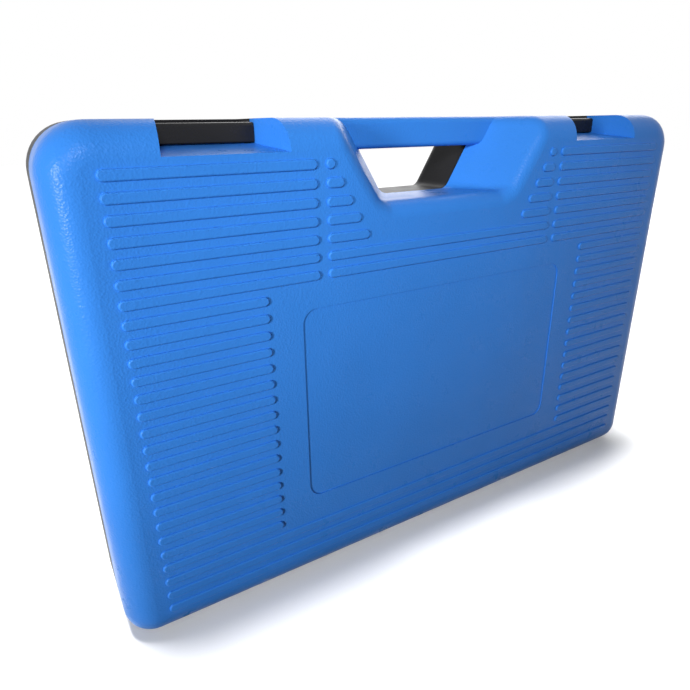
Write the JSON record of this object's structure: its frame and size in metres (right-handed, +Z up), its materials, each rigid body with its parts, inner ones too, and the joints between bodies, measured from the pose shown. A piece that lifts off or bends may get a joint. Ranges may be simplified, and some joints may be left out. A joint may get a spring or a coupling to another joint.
{
  "type": "socket wrench set in case",
  "caption": "Closed carrying case with ribbed blue lid, black base, two latches and a moulded carry bar, holding ratchets, sockets and bars in a tray.",
  "frame": {"origin": "middle of the underside of the closed case, in the seam plane, standing on its hinge edge", "axes": "+X along the hinge to the right seen from the lid, +Y from the lid to the base, +Z up to the carrying bar"},
  "size_m": [0.5, 0.0908, 0.32],
  "materials": {
    "blue_plastic": "moulded, fine leather-like grain, satin",
    "black_plastic": "moulded, fine grain, satin",
    "latch_plastic": "moulded, semi-gloss",
    "grey_plastic": "vacuum-formed, matte",
    "chrome": "chrome-plated steel",
    "steel": "bare steel",
    "grip_rubber": "ribbed soft grip"
  },
  "bodies": {
    "base": {"base_shell": "black_plastic", "hinge_pin": "steel", "latch_pins": "steel", "tool_tray": "grey_plastic", "half_ratchet_body": "chrome", "half_ratchet_grip": "grip_rubber", "half_ratchet_cover": "chrome", "half_ratchet_cover_screws": "steel", "quarter_ratchet_body": "chrome", "quarter_ratchet_grip": "grip_rubber", "quarter_ratchet_cover": "chrome", "quarter_ratchet_cover_screws": "steel", "half_socket_10mm": "chrome", "half_socket_11mm": "chrome", "half_socket_12mm": "chrome", "half_socket_13mm": "chrome", "half_socket_14mm": "chrome", "half_socket_15mm": "chrome", "half_socket_17mm": "chrome", "half_socket_19mm": "chrome", "half_socket_21mm": "chrome", "half_socket_22mm": "chrome", "half_socket_24mm": "chrome", "quarter_socket_4mm": "chrome", "quarter_socket_5mm": "chrome", "quarter_socket_6mm": "chrome", "quarter_socket_7mm": "chrome", "quarter_socket_8mm": "chrome", "quarter_socket_9mm": "chrome", "quarter_socket_10mm": "chrome", "quarter_socket_11mm": "chrome", "quarter_socket_12mm": "chrome", "quarter_socket_13mm": "chrome", "half_extension_bar": "chrome", "quarter_extension_bar": "chrome", "spinner_shaft": "chrome", "tee_bar": "chrome", "plug_socket_21mm": "chrome", "plug_socket_16mm": "chrome", "spinner_grip": "grip_rubber"},
    "lid": {"lid_shell": "blue_plastic", "lid_liner": "grey_plastic", "liner_screws": "steel"},
    "latch_left": {"latch_left": "latch_plastic"},
    "latch_right": {"latch_right": "latch_plastic"},
    "half_drive": {"half_ratchet_drive_gear": "steel", "half_ratchet_detent_ball": "steel"},
    "half_button": {"half_ratchet_release_button": "steel"},
    "half_lever": {"half_ratchet_pawl": "steel", "half_ratchet_direction_lever": "black_plastic"},
    "quarter_drive": {"quarter_ratchet_drive_gear": "steel", "quarter_ratchet_detent_ball": "steel"},
    "quarter_button": {"quarter_ratchet_release_button": "steel"},
    "quarter_lever": {"quarter_ratchet_pawl": "steel", "quarter_ratchet_direction_lever": "black_plastic"},
    "tee_slider": {"tee_slider": "chrome"}
  },
  "joints": [
    {"name": "lid_hinge", "type": "hinge", "parent": "base", "child": "lid", "pos_m": [0, 0, 0.007], "axis": [1, 0, 0], "range_deg": [0, 107]},
    {"name": "latch_left_pivot", "type": "hinge", "parent": "base", "child": "latch_left", "pos_m": [-0.1565, 0.014, 0.313], "axis": [-1, 0, 0], "range_deg": [0, 95]},
    {"name": "latch_right_pivot", "type": "hinge", "parent": "base", "child": "latch_right", "pos_m": [0.1565, 0.014, 0.313], "axis": [-1, 0, 0], "range_deg": [0, 95]},
    {"name": "half_drive_turn", "type": "hinge", "parent": "base", "child": "half_drive", "pos_m": [-0.196, 0.02, 0.2382], "axis": [0, 1, 0], "continuous": true},
    {"name": "half_button_press", "type": "slide", "parent": "half_drive", "child": "half_button", "axis": [0, 1, 0], "range_m": [0, 0.002], "stiffness_N_per_m": 400},
    {"name": "half_lever_swing", "type": "hinge", "parent": "base", "child": "half_lever", "pos_m": [-0.1795, 0.01, 0.2382], "axis": [0, 1, 0], "range_deg": [-12, 12]},
    {"name": "quarter_drive_turn", "type": "hinge", "parent": "base", "child": "quarter_drive", "pos_m": [0.203, 0.02, 0.133], "axis": [0, 1, 0], "continuous": true},
    {"name": "quarter_button_press", "type": "slide", "parent": "quarter_drive", "child": "quarter_button", "axis": [0, 1, 0], "range_m": [0, 0.0015], "stiffness_N_per_m": 400},
    {"name": "quarter_lever_swing", "type": "hinge", "parent": "base", "child": "quarter_lever", "pos_m": [0.1931, 0.01, 0.133], "axis": [0, 1, 0], "range_deg": [-12, 12]},
    {"name": "tee_slide", "type": "slide", "parent": "base", "child": "tee_slider", "axis": [1, 0, 0], "range_m": [-0.07, 0.07]}
  ]
}
